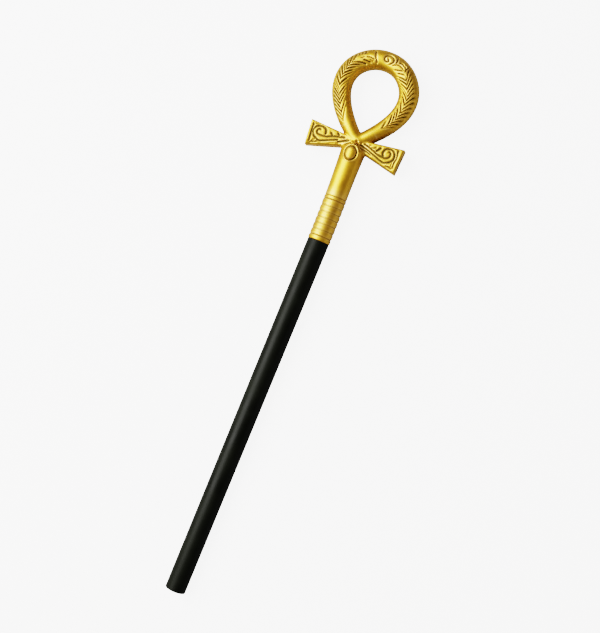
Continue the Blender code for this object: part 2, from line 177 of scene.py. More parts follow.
def mixed(tree, factor, under, over):
    """One colour over another, as far as the factor says."""
    mix = add(tree, "ShaderNodeMix", data_type="RGBA")
    mix.inputs["B"].default_value = over
    tree.links.new(factor, mix.inputs["Factor"])
    tree.links.new(under, mix.inputs["A"])
    return mix.outputs["Result"]


def patches_and_grain():
    """What both finishes share: cloudy patches that vary the gloss, and a fine grain."""
    group = bpy.data.node_groups.new("patches_and_grain", "ShaderNodeTree")
    sockets = [("Vector", "INPUT", "NodeSocketVector")]
    for name in ("Patch Scale", "Patch Detail", "Patch Roughness", "Least Rough", "Most Rough",
                 "Grain Scale", "Grain Height"):
        sockets.append((name, "INPUT", "NodeSocketFloat"))
    sockets.append(("Patches", "OUTPUT", "NodeSocketFloat"))
    sockets.append(("Roughness", "OUTPUT", "NodeSocketFloat"))
    sockets.append(("Normal", "OUTPUT", "NodeSocketVector"))
    for name, way, kind in sockets:
        group.interface.new_socket(name, in_out=way, socket_type=kind)
    given = add(group, "NodeGroupInput").outputs

    patches = add(group, "ShaderNodeTexNoise", {
        "Vector": given["Vector"],
        "Scale": given["Patch Scale"],
        "Detail": given["Patch Detail"],
        "Roughness": given["Patch Roughness"],
    })
    gloss = add(group, "ShaderNodeMapRange", {
        "Value": patches.outputs["Fac"],
        "From Min": 0.3,
        "From Max": 0.7,
        "To Min": given["Least Rough"],
        "To Max": given["Most Rough"],
    })
    grain = add(group, "ShaderNodeTexNoise", {
        "Vector": given["Vector"],
        "Scale": given["Grain Scale"],
        "Detail": 3.0,
    })
    bump = add(group, "ShaderNodeBump", {
        "Strength": 0.25,
        "Distance": given["Grain Height"],
        "Height": grain.outputs["Fac"],
    })
    add(group, "NodeGroupOutput", {
        "Patches": patches.outputs["Fac"],
        "Roughness": gloss.outputs["Result"],
        "Normal": bump.outputs["Normal"],
    })
    return group


PATCHES_AND_GRAIN = patches_and_grain()


def moulded_black():
    """Satin black plastic: a fine moulding grain, long drag marks and pale scuffs."""
    material, tree, shader = new_finish("moulded_black_plastic")
    shader.inputs["Specular IOR Level"].default_value = 0.165
    link = tree.links.new
    where = add(tree, "ShaderNodeTexCoord").outputs["Object"]

    # the grain of the mould, and broad patches where hands have polished it
    skin = add(tree, "ShaderNodeGroup", {
        "Vector": where,
        "Patch Scale": 22.0,
        "Patch Detail": 5.0,
        "Patch Roughness": 0.5,
        "Least Rough": 0.42,
        "Most Rough": 0.54,
        "Grain Scale": 1400.0,
        "Grain Height": 0.00006,
    }, node_tree=PATCHES_AND_GRAIN)
    link(skin.outputs["Roughness"], shader.inputs["Roughness"])

    # long, faint drag marks run along the pole
    stretch = add(tree, "ShaderNodeMapping", {"Vector": where, "Scale": (6, 260, 260)})
    drag = add(tree, "ShaderNodeTexNoise", {
        "Vector": stretch.outputs["Vector"],
        "Scale": 1.0,
        "Detail": 4.0,
    })
    marks = add(tree, "ShaderNodeBump", {
        "Strength": 0.22,
        "Distance": 0.00012,
        "Height": drag.outputs["Fac"],
        "Normal": skin.outputs["Normal"],
    })
    link(marks.outputs["Normal"], shader.inputs["Normal"])

    # the black is cloudy, and paler where it is scuffed
    dark, pale = (0.0068, 0.0075, 0.0048, 1), (0.0112, 0.0126, 0.0080, 1)
    tint = two_tones(tree, skin.outputs["Patches"], 0.35, dark, 0.72, pale)
    scuff = add(tree, "ShaderNodeMapRange", {
        "Value": drag.outputs["Fac"],
        "From Min": 0.66,
        "From Max": 0.8,
        "To Max": 0.35,
    })
    scuffed = mixed(tree, scuff.outputs["Result"], tint, (0.02, 0.02, 0.018, 1))
    link(scuffed, shader.inputs["Base Color"])
    return material


pole.data.materials.clear()
pole.data.materials.append(moulded_black())
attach(pole, "root")
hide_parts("pole")

# ---------------------------------------- ankh head: the loop
# The head is one hollow plastic moulding under satin gold paint.  Its loop is a round tube bent
# to a teardrop.  Two fronds of nested barbs are carved down its sides, with a curl between them at
# the top, and darker paint lies in the cuts, partly a wash and partly painted shade.

HEAD_BEND = math.radians(1.65)         # the moulding is bent slightly to its left
BEND_LENGTH = 80 * MM                  # over this much of its lower end
LOOP_TOP = 324.5 * MM                  # centreline at the top of the loop
LOOP_HALF_HEIGHT = 73.0 * MM
LOOP_HALF_WIDTH = 82.9 * MM
LOOP_POINT_POWER = 1.18
LOOP_SHOULDER = 0.20
LOOP_START = 0.35                      # teardrop angle where the straight feet begin
FOOT_LENGTH = 16.0 * MM
TUBE_TOP = 17.3 * MM                   # tube radius at the top, the sides and the point
TUBE_SIDE = 16.56 * MM
TUBE_POINT = 11.2 * MM
LOOP_CUT = 166 * MM                    # the loop is joined to the crossing at this distance
LIMB_FULLER = 0.22                     # the limbs grow thicker from front to back by this share,
FULLER_FROM = 140 * MM                 # between these distances from the loop's top
FULLER_TO = 180 * MM

FROND_LAST = {1: 150.0 * MM, -1: 158.0 * MM}      # where each frond's last barb ends
FROND_FIRST = {1: 44.0 * MM, -1: 45.0 * MM}
FROND_RISE = 8 * MM                    # a frond's spine starts and stops over these lengths
FROND_FALL = 3 * MM
BARB_REACH = 50.0                      # the barbs trail back over this many degrees of the tube
HALF_REACH = (54.0, 60.0)              # the inner and the outer cuts end this far from the spine
REACH_UNEVEN = 4.0                     # give or take this many degrees
BARB_FADE = 26.0                       # and run out over this many
BARB_CUT = 1.6 * MM                    # depth and half width of the cuts between barbs
BARB_CUT_WIDTH = 2.15 * MM
WIDTH_UNEVEN = 0.15                    # the cuts' widths differ by this share
LAP = 0.5 * MM                         # each barb rises this much from its root to its edge
LAP_RISE = 2 * MM                      # this starts and stops over this length at a frond's ends
SPINE_CUT = 0.8 * MM
SPINE_WIDTH = 2.2                      # degrees
SHADE_WASH_DEPTH = 1.4 * MM                  # the dark wash and painted shade are full in cuts this deep
BARB_SHADE_WASH = 0.68                       # the wash and painted shade take a barb's cut for one this share as deep
SHOULDER = 0.35                        # a cut's edges are rounded down by this share of its depth
SHOULDER_WIDTH = 2.6 * MM
STROKE_END = 0.25                      # a cut is this share of its depth where it starts and ends
BACK = (60, 180)                       # degrees round the tube where the mesh's rings straighten
MERGE = 0.01 * MM                      # points this close together become one

stations = 400
drop = np.linspace(math.pi, LOOP_START, stations + 1)
loop_across = LOOP_HALF_WIDTH * np.sin(drop) * np.sin(drop / 2) ** LOOP_POINT_POWER
loop_across *= 1 + LOOP_SHOULDER * np.cos(drop)
loop_up = LOOP_TOP - LOOP_HALF_HEIGHT * (1 + np.cos(drop))
low_share = (1 + np.cos(drop)) / 2
loop_radius = TUBE_TOP + (4 * TUBE_SIDE - 3 * TUBE_TOP - TUBE_POINT) * low_share
loop_radius += 2 * (TUBE_TOP + TUBE_POINT - 2 * TUBE_SIDE) * low_share ** 2
foot = np.array([loop_across[-1] - loop_across[-2], loop_up[-1] - loop_up[-2]])
foot *= FOOT_LENGTH / np.hypot(*foot)
loop_across = np.append(loop_across, loop_across[-1] + foot[0])
loop_up = np.append(loop_up, loop_up[-1] + foot[1])
loop_radius = np.append(loop_radius, loop_radius[-1])
loop_distance = np.append(0, np.cumsum(np.hypot(np.diff(loop_across), np.diff(loop_up))))
heading_across = np.gradient(loop_across, loop_distance)
heading_up = np.gradient(loop_up, loop_distance)


def ease(value, low, high):
    """0 below low, 1 above high and a smooth rise between."""
    share = np.clip((value - low) / (high - low), 0, 1)
    return share * share * (3 - 2 * share)


def smooth_line(points, steps=8):
    """A smooth curve through a few points, as a finer row of points."""
    points = np.array(points, float)
    ends = np.vstack((2 * points[0] - points[1], points, 2 * points[-1] - points[-2]))
    rows = []
    for i in range(len(points) - 1):
        a, b, c, d = ends[i : i + 4]
        t = np.linspace(0, 1, steps, endpoint=False)[:, None]
        bend = (2 * a - 5 * b + 4 * c - d) * t ** 2 + (3 * b - a - 3 * c + d) * t ** 3
        rows.append(b + ((c - a) * t + bend) / 2)
    return np.vstack(rows + [points[-1:]])


# the loop leans a little to its left: how far its centreline stands outside the plain teardrop,
# by the signed distance from its top
LOOP_LEAN = MM * smooth_line([
    (-215, -0.4), (-190, -0.9), (-165, -1.0), (-140, -0.9), (-118, -0.4), (-90, 0.8), (-59, 2.0),
    (-30, 1.6), (0, 0.95), (20, 0.8), (40, -0.2), (59, -0.9), (90, -0.5), (118, 0), (215, 0),
])


def lean_at(along):
    """How far the centreline is moved outwards."""
    return np.interp(along, LOOP_LEAN[:, 0], LOOP_LEAN[:, 1])


def limb_fullness(along):
    """The limbs grow thicker from front to back as they near the crossing."""
    return 1 + LIMB_FULLER * ease(np.abs(along), FULLER_FROM, FULLER_TO)


def tube_points(along, theta, sink):
    """Points on the loop at a distance from its top and an angle out from its front, in degrees."""
    side = np.where(along >= 0, 1.0, -1.0)
    distance = np.abs(along)
    radius = np.interp(distance, loop_distance, loop_radius) - sink
    outward_across = -np.interp(distance, loop_distance, heading_up)
    outward_up = np.interp(distance, loop_distance, heading_across)
    out = radius * np.sin(np.radians(theta)) + lean_at(along)
    across = side * (np.interp(distance, loop_distance, loop_across) + outward_across * out)
    up = np.interp(distance, loop_distance, loop_up) + outward_up * out
    front = radius * np.cos(np.radians(theta)) * limb_fullness(along)
    return np.column_stack((up.ravel(), -across.ravel(), front.ravel()))


def nearest_on(line, spots, *values):
    """How far each spot is from a line of points, and values of the line where it is nearest."""
    nearest = np.full(len(spots), np.inf)
    found = [np.zeros(len(spots)) for value in values]
    for i in range(len(line) - 1):
        run = line[i + 1] - line[i]
        share = np.clip((spots - line[i]) @ run / (run @ run), 0, 1)
        away = np.hypot(*(spots - line[i] - share[:, None] * run).T)
        better = away < nearest
        nearest[better] = away[better]
        for here, value in zip(found, values):
            here[better] = (value[i] + share * (value[i + 1] - value[i]))[better]
    return nearest, *found


def stroke(spots, line, width, fade=2.0 * MM):
    """How deep each spot lies in a cut along a line: 1 in the middle, less towards its ends."""
    line = smooth_line(np.array(line) * MM)
    lengths = np.append(0, np.cumsum(np.hypot(*np.diff(line, axis=0).T)))
    depth = np.zeros(len(spots))
    near = np.flatnonzero(
        (spots > line.min(0) - 3 * width).all(1) & (spots < line.max(0) + 3 * width).all(1)
    )
    if not len(near):
        return depth
    away, reached = nearest_on(line, spots[near], lengths)
    from_end = np.minimum(reached, lengths[-1] - reached)
    strength = STROKE_END + (1 - STROKE_END) * ease(from_end, 0, fade)
    depth[near] = np.exp(-((away / width) ** 2)) * strength
    return depth


# Where the cuts of each frond reach its spine, in mm from the top of the loop, and how strong each
# one is.  The right frond is on side 1 and the left one on side -1, and each has its inner cuts
# before its outer ones.
CUTS = {
    1: (
        ((53.8, 1.1), (60.5, 1.0), (69.6, 1.0), (78.8, 0.4), (86.6, 0.9), (97.2, 1.1), (105.0, 0.4),
         (111.6, 1.0), (122.4, 0.9), (130.0, 1.1), (138.4, 1.2), (150.0, 1.0)),
        ((52.6, 1.1), (60.1, 0.9), (67.6, 1.0), (74.6, 0.9), (81.6, 0.9), (88.3, 0.9), (95.6, 0.9),
         (103.3, 0.9), (110.6, 0.9), (117.9, 0.9), (125.4, 0.9), (133.4, 0.8), (141.6, 0.9),
         (149.6, 0.9)),
    ),
    -1: (
        ((56.9, 1.0), (64.2, 1.0), (70.6, 1.0), (78.4, 1.1), (86.6, 0.9), (96.8, 1.2), (105.0, 0.4),
         (113.2, 1.1), (122.1, 0.8), (130.4, 1.2), (144.2, 1.1), (156.4, 0.9)),
        ((53.0, 0.9), (60.9, 0.9), (67.2, 0.9), (73.8, 0.7), (80.2, 1.0), (87.2, 1.0), (95.8, 1.0),
         (103.6, 0.6), (109.4, 0.6), (116.2, 1.0), (122.4, 1.0), (129.0, 1.0), (135.3, 1.1),
         (142.1, 1.0), (149.2, 1.1), (157.2, 1.0)),
    ),
}


def jitter(number, seed):
    """A repeatable value from -1 to 1 for a numbered cut, so that no two are quite alike."""
    return 2 * ((np.sin(number * 12.9898 + seed * 78.233) * 43758.5453) % 1) - 1


def frond_depth(spine, angle, side):
    """Depth of one frond's cuts on rings whose spine stands that far from the loop's top."""
    depth = np.zeros(angle.shape)
    for half in (0, 1):
        cuts, strength = np.array(CUTS[side][half]).T
        cuts *= MM
        number = np.abs(spine[:, None] - cuts).argmin(1)
        offset = spine - cuts[number]
        width = BARB_CUT_WIDTH * (1 + WIDTH_UNEVEN * jitter(number, 3 + half))
        reach = HALF_REACH[half] + REACH_UNEVEN * jitter(number, 7 + side)
        ends = ease(reach - np.abs(angle), 0, BARB_FADE)
        cut = BARB_CUT * strength[number] * np.exp(-((offset / width) ** 2))
        # each barb slopes down from its free edge, and so lies over the next like a feather's
        after = np.searchsorted(cuts, spine).clip(1, len(cuts) - 1)
        share = ((spine - cuts[after - 1]) / (cuts[after] - cuts[after - 1])).clip(0, 1)
        lap = LAP * (1 - share) * ease(spine, cuts[0], cuts[0] + LAP_RISE)
        lap *= 1 - ease(spine, cuts[-1] - LAP_RISE, cuts[-1])
        here = (angle < 0) if half == 0 else (angle >= 0)
        depth = np.where(here, (cut + lap) * ends, depth)
    inside = ease(spine, FROND_FIRST[side], FROND_FIRST[side] + FROND_RISE)
    inside *= 1 - ease(spine, FROND_LAST[side] - FROND_FALL, FROND_LAST[side])
    groove = SPINE_CUT * np.exp(-((angle / SPINE_WIDTH) ** 2)) * inside
    return np.maximum(depth, groove)


# Marks at the top, as (distance from the top, distance out from the front), with their half width
# and depth, all in mm.
CURL = [
    (3.0, 2.4), (4.6, 0.0), (5.4, -2.6), (2.6, -4.3), (-1.2, -2.7), (-2.3, 1.8),
    (-0.2, 6.0), (4.0, 8.5), (9.0, 8.0), (12.4, 5.0), (13.7, 0.6), (12.0, -3.6), (8.8, -7.2),
]
TOP_MARKS = [
    (CURL, 1.0, 1.5),
    ([(15.2, 14.0), (16.8, 9.5), (18.3, 4.0), (18.5, 0.4)], 0.95, 1.4),
    ([(14.6, -5.8), (18.5, -2.6), (22.4, 0.6), (27.0, 2.8), (32.0, 3.3), (36.4, 1.0)], 0.85, 1.2),
    ([(23.5, -9.8), (26.4, -7.3), (29.6, -5.0), (33.0, -1.8), (35.6, 1.0)], 0.95, 1.4),
    ([(32.4, -9.6), (35.4, -7.2), (38.2, -4.6), (41.4, -1.6), (43.6, 0.4)], 0.95, 1.4),
    ([(22.4, 4.6), (24.4, 7.6), (27.6, 9.0), (30.6, 7.9), (33.6, 8.8), (36.8, 7.2)], 0.95, 1.3),
    ([(39.2, 3.6), (37.2, 6.8), (35.9, 12.2), (35.4, 16.0)], 0.95, 1.3),
    ([(-17.6, 13.5), (-17.6, 7.0), (-17.3, 1.0), (-16.8, -3.4), (-15.2, -8.5), (-15.0, -11.8)],
     0.95, 1.4),
    ([(-32.0, 2.4), (-27.4, 0.8), (-23.0, -1.8), (-18.8, -4.8)], 0.9, 1.2),
    ([(-28.4, -3.2), (-24.4, -5.8), (-20.6, -8.6)], 0.7, 0.8),
    ([(-38.6, -1.2), (-34.6, -4.0), (-30.6, -6.8), (-26.0, -10.0)], 1.15, 1.6),
    ([(-49.6, -1.2), (-45.0, -4.2), (-40.0, -7.8), (-35.0, -11.4)], 1.2, 1.7),
    ([(-42.0, 3.6), (-38.0, 3.0), (-33.8, 3.9)], 0.85, 1.0),
    ([(-42.6, 8.6), (-41.0, 12.5), (-40.6, 17.0)], 0.85, 1.1),
    ([(-37.8, 8.8), (-36.8, 13.0), (-36.4, 18.0)], 0.9, 1.4),
    ([(-33.6, 7.4), (-32.4, 11.0), (-31.0, 17.0)], 0.9, 1.4),
    ([(-21.6, 9.8), (-21.2, 14.0)], 0.8, 0.7),
]

# Rings of the loop's mesh: how far in mm from its top each one's spine stands, how far its inner
# and its outer half trail behind, the spine's angle out from the front, and how many rings there
# are to the next.
ring_keys = [
    (-LOOP_CUT / MM, 0, 0, 20, 12),
    (-158, 20, 16, 26, 18),
    (-146, 20, 16, 18, 24),
    (-130, 20, 16, 11, 15),
    (-120, 21, 15, 6, 15),
    (-110, 21, 14, 6, 30),
    (-90, 21, 11, 9, 24),
    (-74, 21, 10, 7, 18),
    (-62, 22, 10, 13, 12),
    (-54, 21, 9, 15, 20),
    (-42, 20, 8, 12, 100),
    (24, -15, -12, 8, 32),
    (45, -17, -13, 2, 30),
    (65, -21, -15, -6, 30),
    (85, -22, -16, -2, 30),
    (105, -22, -16, 3, 22),
    (120, -21, -16, 8, 22),
    (135, -20, -16, 9, 22),
    (150, -20, -16, 5, 18),
    (LOOP_CUT / MM, 0, 0, 5, 0),
]
ring_count = np.append(0, np.cumsum([key[4] for key in ring_keys[:-1]]))
# columns of the mesh and the angle from the spine that each stands at, closest on the front
side_keys = [(0, -180), (12, -66), (37, -6), (45, 6), (70, 66), (80, 180)]
ROWS = int(ring_count[-1])
COLUMNS = side_keys[-1][0]


def points_of(piece):
    """A mesh's points as rows."""
    points = np.zeros(len(piece.data.vertices) * 3)
    piece.data.vertices.foreach_get("co", points)
    return points.reshape(-1, 3)


bpy.ops.object.select_all(action="DESELECT")
bpy.ops.mesh.primitive_grid_add(x_subdivisions=COLUMNS, y_subdivisions=ROWS, size=1)
loop = new_piece("loop")
flat = points_of(loop)
row = np.round((flat[:, 1] + 0.5) * ROWS)
column = np.round((flat[:, 0] + 0.5) * COLUMNS)
spine, inner_trail, outer_trail, spine_angle = (
    scale * np.interp(row, ring_count, [key[part] for key in ring_keys])
    for part, scale in enumerate((MM, MM, MM, 1))
)
angle = np.interp(column, [key[0] for key in side_keys], [key[1] for key in side_keys])
out = np.minimum(np.abs(angle) / BARB_REACH, 1)
behind = ease(np.abs(angle), *BACK)
mean_trail = (inner_trail + outer_trail) / 2
inner_trail += (mean_trail - inner_trail) * behind
outer_trail += (mean_trail - outer_trail) * behind
along = spine + np.where(angle < 0, inner_trail * out, outer_trail * np.sin(np.pi / 2 * out))
theta = angle + spine_angle
tube = np.interp(np.abs(along), loop_distance, loop_radius)
sink = np.where(spine > 0, frond_depth(spine, angle, 1), frond_depth(-spine, angle, -1))
unrolled = np.column_stack((along, np.radians(theta) * tube))
# the cuts get the dark wash, which is partly painted shade
washed_and_shaded = BARB_SHADE_WASH * sink
worn = np.zeros(len(sink))
for line, width, depth in TOP_MARKS:
    depth *= MM
    mark = depth * stroke(unrolled, line, width * MM)
    sink = np.maximum(sink, mark)
    washed_and_shaded = np.maximum(washed_and_shaded, mark)
    worn = np.maximum(worn, SHOULDER * depth * stroke(unrolled, line, SHOULDER_WIDTH))
loop.data.vertices.foreach_set("co", tube_points(along, theta, sink + worn).ravel())


def keep_depth(piece, depth):
    """Store how deep each vertex lies in the carving, from 0 to 1, for the dark wash and painted
    shade.
    """
    layer = piece.data.attributes.new("recess", "FLOAT", "POINT")
    layer.data.foreach_set("value", np.clip(depth / SHADE_WASH_DEPTH, 0, 1).astype(np.float32))


keep_depth(loop, washed_and_shaded)
bpy.ops.object.mode_set(mode="EDIT")
bpy.ops.mesh.select_all(action="SELECT")
bpy.ops.mesh.remove_doubles(threshold=MERGE)
bpy.ops.object.mode_set(mode="OBJECT")

# ---------------------------------------- ankh head: stem and collar
# Below the crossing runs a plain round stem, then a collar of one narrow band and seven rounded
# ribs, moulded in one with the rest of the head.  The spigot under it is glued into the pole.

CREST_RADIUS = 19.5 * MM
GROOVE_RADIUS = 18.3 * MM
RIB_HEIGHTS = (8.3 * MM,) + (10.57 * MM,) * 5 + (11.7 * MM,)
BAND_HEIGHT = 6.1 * MM
RIB_SQUARE = 3.2                       # higher makes a rib's top flatter
RIB_FULL = 0.6                         # lower makes a rib's sides steeper
RIB_SHADE_WASH = (0.4 * MM, 1.2 * MM)        # the wash and painted shade grow between these depths under the crests, to as much as a cut of this depth holds
RIB_SHADE_WASH_DEPTH = 1.0 * MM              # to as much as a cut of this depth holds
SPIGOT_CHAMFER = 1.5 * MM
STEM_RADIUS = 19.1 * MM
STEM_FLARE = 2.1 * MM
STEM_FLARE_POWER = 1.8
STEM_SHOULDER = 162 * MM
STEM_TOP = 184 * MM
STEM_CUT = 128 * MM                    # the round stem is joined to the crossing here
STEM_SIDES = 96
STEM_STEPS = 12
STEM_FOOT = 1.4 * MM                   # from the top of the band to the first ring of the stem
RIB_STEPS = 9

collar_top = sum(RIB_HEIGHTS) + BAND_HEIGHT


def stem_radius(height):
    """Radius of the plain stem, which flares towards the crossing."""
    along_stem = np.clip((height - collar_top) / (STEM_SHOULDER - collar_top), 0, 1)
    return STEM_RADIUS + STEM_FLARE * along_stem ** STEM_FLARE_POWER


def rib(low, height):
    """Outline of one rib, from its lower groove to just under its upper one."""
    share = np.arange(RIB_STEPS) / RIB_STEPS
    swell = (1 - np.abs(2 * share - 1) ** RIB_SQUARE) ** RIB_FULL
    radius = GROOVE_RADIUS + (CREST_RADIUS - GROOVE_RADIUS) * swell
    return np.column_stack((low + height * share, radius))


profile = [(-SPIGOT_LENGTH, 0.0), (-SPIGOT_LENGTH, SPIGOT_RADIUS - SPIGOT_CHAMFER)]
profile += [(-SPIGOT_LENGTH + SPIGOT_CHAMFER, SPIGOT_RADIUS), (0.0, SPIGOT_RADIUS)]
level = 0.0
for height in RIB_HEIGHTS + (BAND_HEIGHT,):
    profile += [tuple(point) for point in rib(level, height)]
    level += height
profile += [(level, GROOVE_RADIUS)]
for height in np.linspace(level + STEM_FOOT, STEM_CUT, STEM_STEPS):
    profile += [(height, float(stem_radius(height)))]

bpy.ops.object.select_all(action="DESELECT")
bpy.ops.mesh.primitive_plane_add(size=1)
stem = new_piece("stem")
bpy.ops.object.mode_set(mode="EDIT")
bpy.ops.mesh.delete(type="VERT")
outline = bmesh.from_edit_mesh(stem.data)
points = [outline.verts.new((height, 0, radius)) for height, radius in profile]
for lower, upper in zip(points, points[1:]):
    outline.edges.new((lower, upper))
bmesh.update_edit_mesh(stem.data)
bpy.ops.mesh.select_all(action="SELECT")
bpy.ops.mesh.spin(steps=STEM_SIDES, angle=math.tau, center=(0, 0, 0), axis=(1, 0, 0))
bpy.ops.mesh.select_all(action="SELECT")
bpy.ops.mesh.remove_doubles(threshold=MERGE)
bpy.ops.object.mode_set(mode="OBJECT")
turned = points_of(stem)
shy = CREST_RADIUS - np.hypot(turned[:, 1], turned[:, 2])
in_collar = (turned[:, 0] > 0) & (turned[:, 0] < level + MM)
# the grooves between the ribs get the dark wash and painted shade
keep_depth(stem, np.where(in_collar, ease(shy, *RIB_SHADE_WASH), 0) * RIB_SHADE_WASH_DEPTH)

# ---------------------------------------- ankh head: the crossing and arms
# The two limbs of the loop run together above the stem, and a thick plate flares out to each
# side as an arm.  All of it is one soft-edged moulding, so the forms flow into each other.

ARM_REACH = {1: (81.7 * MM, 81.7 * MM), -1: (83.3 * MM, 84.5 * MM)}      # upper and lower corners
ARM_LEVEL = 169.5 * MM
ARM_HALF_END = 22.2 * MM
ARM_DROOP = math.radians(4.7)
ARM_FLARE = math.radians(10.4)
ARM_HALF_THICK = 11.5 * MM
ARM_ROUNDING = 3.2 * MM
ARM_FALL = 3.2 * MM                    # the front falls away by this much towards its lower edge
ARM_FALL_WIDTH = 9.0 * MM
ARM_OVERLAP = 12 * MM                  # each arm runs on this far past the staff's axis
LIMB_START = 135 * MM                  # the limbs are taken from this far down the loop
LIMB_STEP = 6                          # at every sixth station
LIMB_SUNK = 0.8                        # their fronts are this share as high over the plate
SUNK_UP_TO = (176 * MM, 184 * MM)      # and grow to their full height between these levels
LIMB_FILLET = 5 * MM
ARM_FILLET = 2.5 * MM
STEM_FILLET = 4 * MM
ARM_MIDDLE = 40 * MM                   # the rough arm is added this far out
ROUGH_STEM = 20 * MM                   # radii of the rough stem and limbs
ROUGH_LIMB = 13 * MM
VOXEL = 1.3 * MM
LIMB_LOW = 190 * MM                    # only the limbs lie above this and within this of the axis
LIMB_OUT = 45 * MM
BAND = 1.2 * MM                        # width of the bands that join loop, crossing and stem
CARVED = (138 * MM, 196 * MM)          # the carving lies between these levels
CARVED_FACING = 0.35                   # where the surface faces forward at least this much


def arm_corners(side):
    """Corners of an arm's plate as (up, left), in order round it, seen as the right arm."""
    along = np.array([math.cos(ARM_DROOP), -math.sin(ARM_DROOP)])
    upward = np.array([math.sin(ARM_DROOP), math.cos(ARM_DROOP)])
    corners = []
    for sign, reach in zip((1, -1), ARM_REACH[side]):
        corner = np.array([reach, ARM_LEVEL]) + upward * ARM_HALF_END * sign
        run = along * math.cos(ARM_FLARE) + upward * math.sin(ARM_FLARE) * sign
        inner = corner - run * (corner[0] + ARM_OVERLAP) / run[0]
        corners += [inner, corner] if sign > 0 else [corner, inner]
    return np.array([(up, -across) for across, up in corners])


def outline_distance(spots, corners):
    """Distance of each spot outside a convex outline, negative inside."""
    nearest = np.full(len(spots), np.inf)
    inside = np.ones(len(spots), bool)
    centre = corners.mean(0)
    for start, end in zip(corners, np.roll(corners, -1, 0)):
        run = end - start
        share = np.clip((spots - start) @ run / (run @ run), 0, 1)
        nearest = np.minimum(nearest, np.hypot(*(spots - start - share[:, None] * run).T))
        normal = np.array([-run[1], run[0]])
        normal *= np.sign((centre - start) @ normal)
        inside &= (spots - start) @ normal > 0
    return np.where(inside, -nearest, nearest)


def arm_distance(points, mirror):
    """Distance of each point outside one arm's plate with its rounded edges."""
    spots = points[:, :2] * (1, mirror)
    corners = arm_corners(mirror)
    edge = outline_distance(spots, corners) + ARM_ROUNDING
    lower = corners[3] - corners[2]
    inward = np.array([abs(lower[1]), -abs(lower[0])]) / np.hypot(*lower)
    inward[1] *= np.sign(lower[0] * lower[1])
    fall = ARM_FALL * (1 - ease((spots - corners[2]) @ inward, 0, ARM_FALL_WIDTH))
    face = np.abs(points[:, 2]) + fall * (points[:, 2] > 0) - ARM_HALF_THICK + ARM_ROUNDING
    beyond = np.hypot(np.maximum(edge, 0), np.maximum(face, 0))
    return beyond + np.minimum(np.maximum(edge, face), 0) - ARM_ROUNDING


def leaning_line(side):
    """The loop's leaning centreline on one side, as distances up from the joint and outwards."""
    lean = lean_at(side * loop_distance)
    return loop_up + heading_across * lean, loop_across - heading_up * lean


def limb_distance(points, side):
    """Distance of each point outside one limb of the loop."""
    up, outwards = leaning_line(side)
    start = np.searchsorted(loop_distance, LIMB_START)
    taken = np.append(np.arange(start, len(up), LIMB_STEP), len(up) - 1)
    line = np.column_stack((up, -side * outwards))[taken]
    away, radius, along = nearest_on(
        line, points[:, :2], loop_radius[taken], loop_distance[taken]
    )
    # on the front the limbs sink into the plate above the small ornament at its middle
    sunk = LIMB_SUNK + (1 - LIMB_SUNK) * ease(points[:, 0], *SUNK_UP_TO)
    full = limb_fullness(along) * np.where(points[:, 2] > 0, sunk, 1)
    return np.hypot(away, points[:, 2] / full) - radius


def stem_distance(points):
    """Distance of each point outside the stem and its domed shoulder."""
    radius = stem_radius(np.minimum(points[:, 0], STEM_SHOULDER))
    above = np.maximum(points[:, 0] - STEM_SHOULDER, 0) * radius / (STEM_TOP - STEM_SHOULDER)
    return np.sqrt(points[:, 1] ** 2 + points[:, 2] ** 2 + above ** 2) - radius


def blend(one, other, width):
    """Join two forms with a soft fillet."""
    overlap = np.maximum(width - np.abs(one - other), 0) / width
    return np.minimum(one, other) - overlap ** 2 * width / 4


def crossing(points):
    """Distance of each point outside the fused limbs, arms and stem."""
    limbs = blend(limb_distance(points, 1), limb_distance(points, -1), LIMB_FILLET)
    arms = np.minimum(arm_distance(points, 1), arm_distance(points, -1))
    plate = blend(limbs, arms, ARM_FILLET)
    return blend(plate, stem_distance(points), STEM_FILLET)


def slope(points):
    """Which way the crossing's surface faces at each point."""
    step = 0.05 * MM
    rise = [crossing(points + step * axis) - crossing(points - step * axis) for axis in np.eye(3)]
    return np.column_stack(rise) / (2 * step)


def settle(piece, rounds):
    """Move a mesh's points straight onto the crossing's surface and return them."""
    points = points_of(piece)
    for _ in range(rounds):
        facing = slope(points)
        steep = np.maximum((facing ** 2).sum(1), 0.2)        # no long jumps where forms meet
        move = -crossing(points) / steep
        points += np.clip(move, -MM, MM)[:, None] * facing
    piece.data.vertices.foreach_set("co", points.ravel())
    piece.data.update()
    return points


def bar(start, end, radius, name):
    """A round bar between two points as a rough start for a limb or the stem."""
    run = Vector(end) - Vector(start)
    bpy.ops.object.select_all(action="DESELECT")
    bpy.ops.mesh.primitive_cylinder_add(
        vertices=48,
        radius=radius,
        depth=run.length,
        end_fill_type="NGON",
        location=(Vector(start) + Vector(end)) / 2,
        rotation=run.to_track_quat("Z", "Y").to_euler(),
    )
    return new_piece(name)


def loop_spot(distance):
    """Centre of the loop's tube at a signed distance from its top."""
    up, outwards = (
        float(np.interp(abs(distance), loop_distance, places))
        for places in leaning_line(math.copysign(1, distance))
    )
    return Vector((up, -math.copysign(outwards, distance), 0))


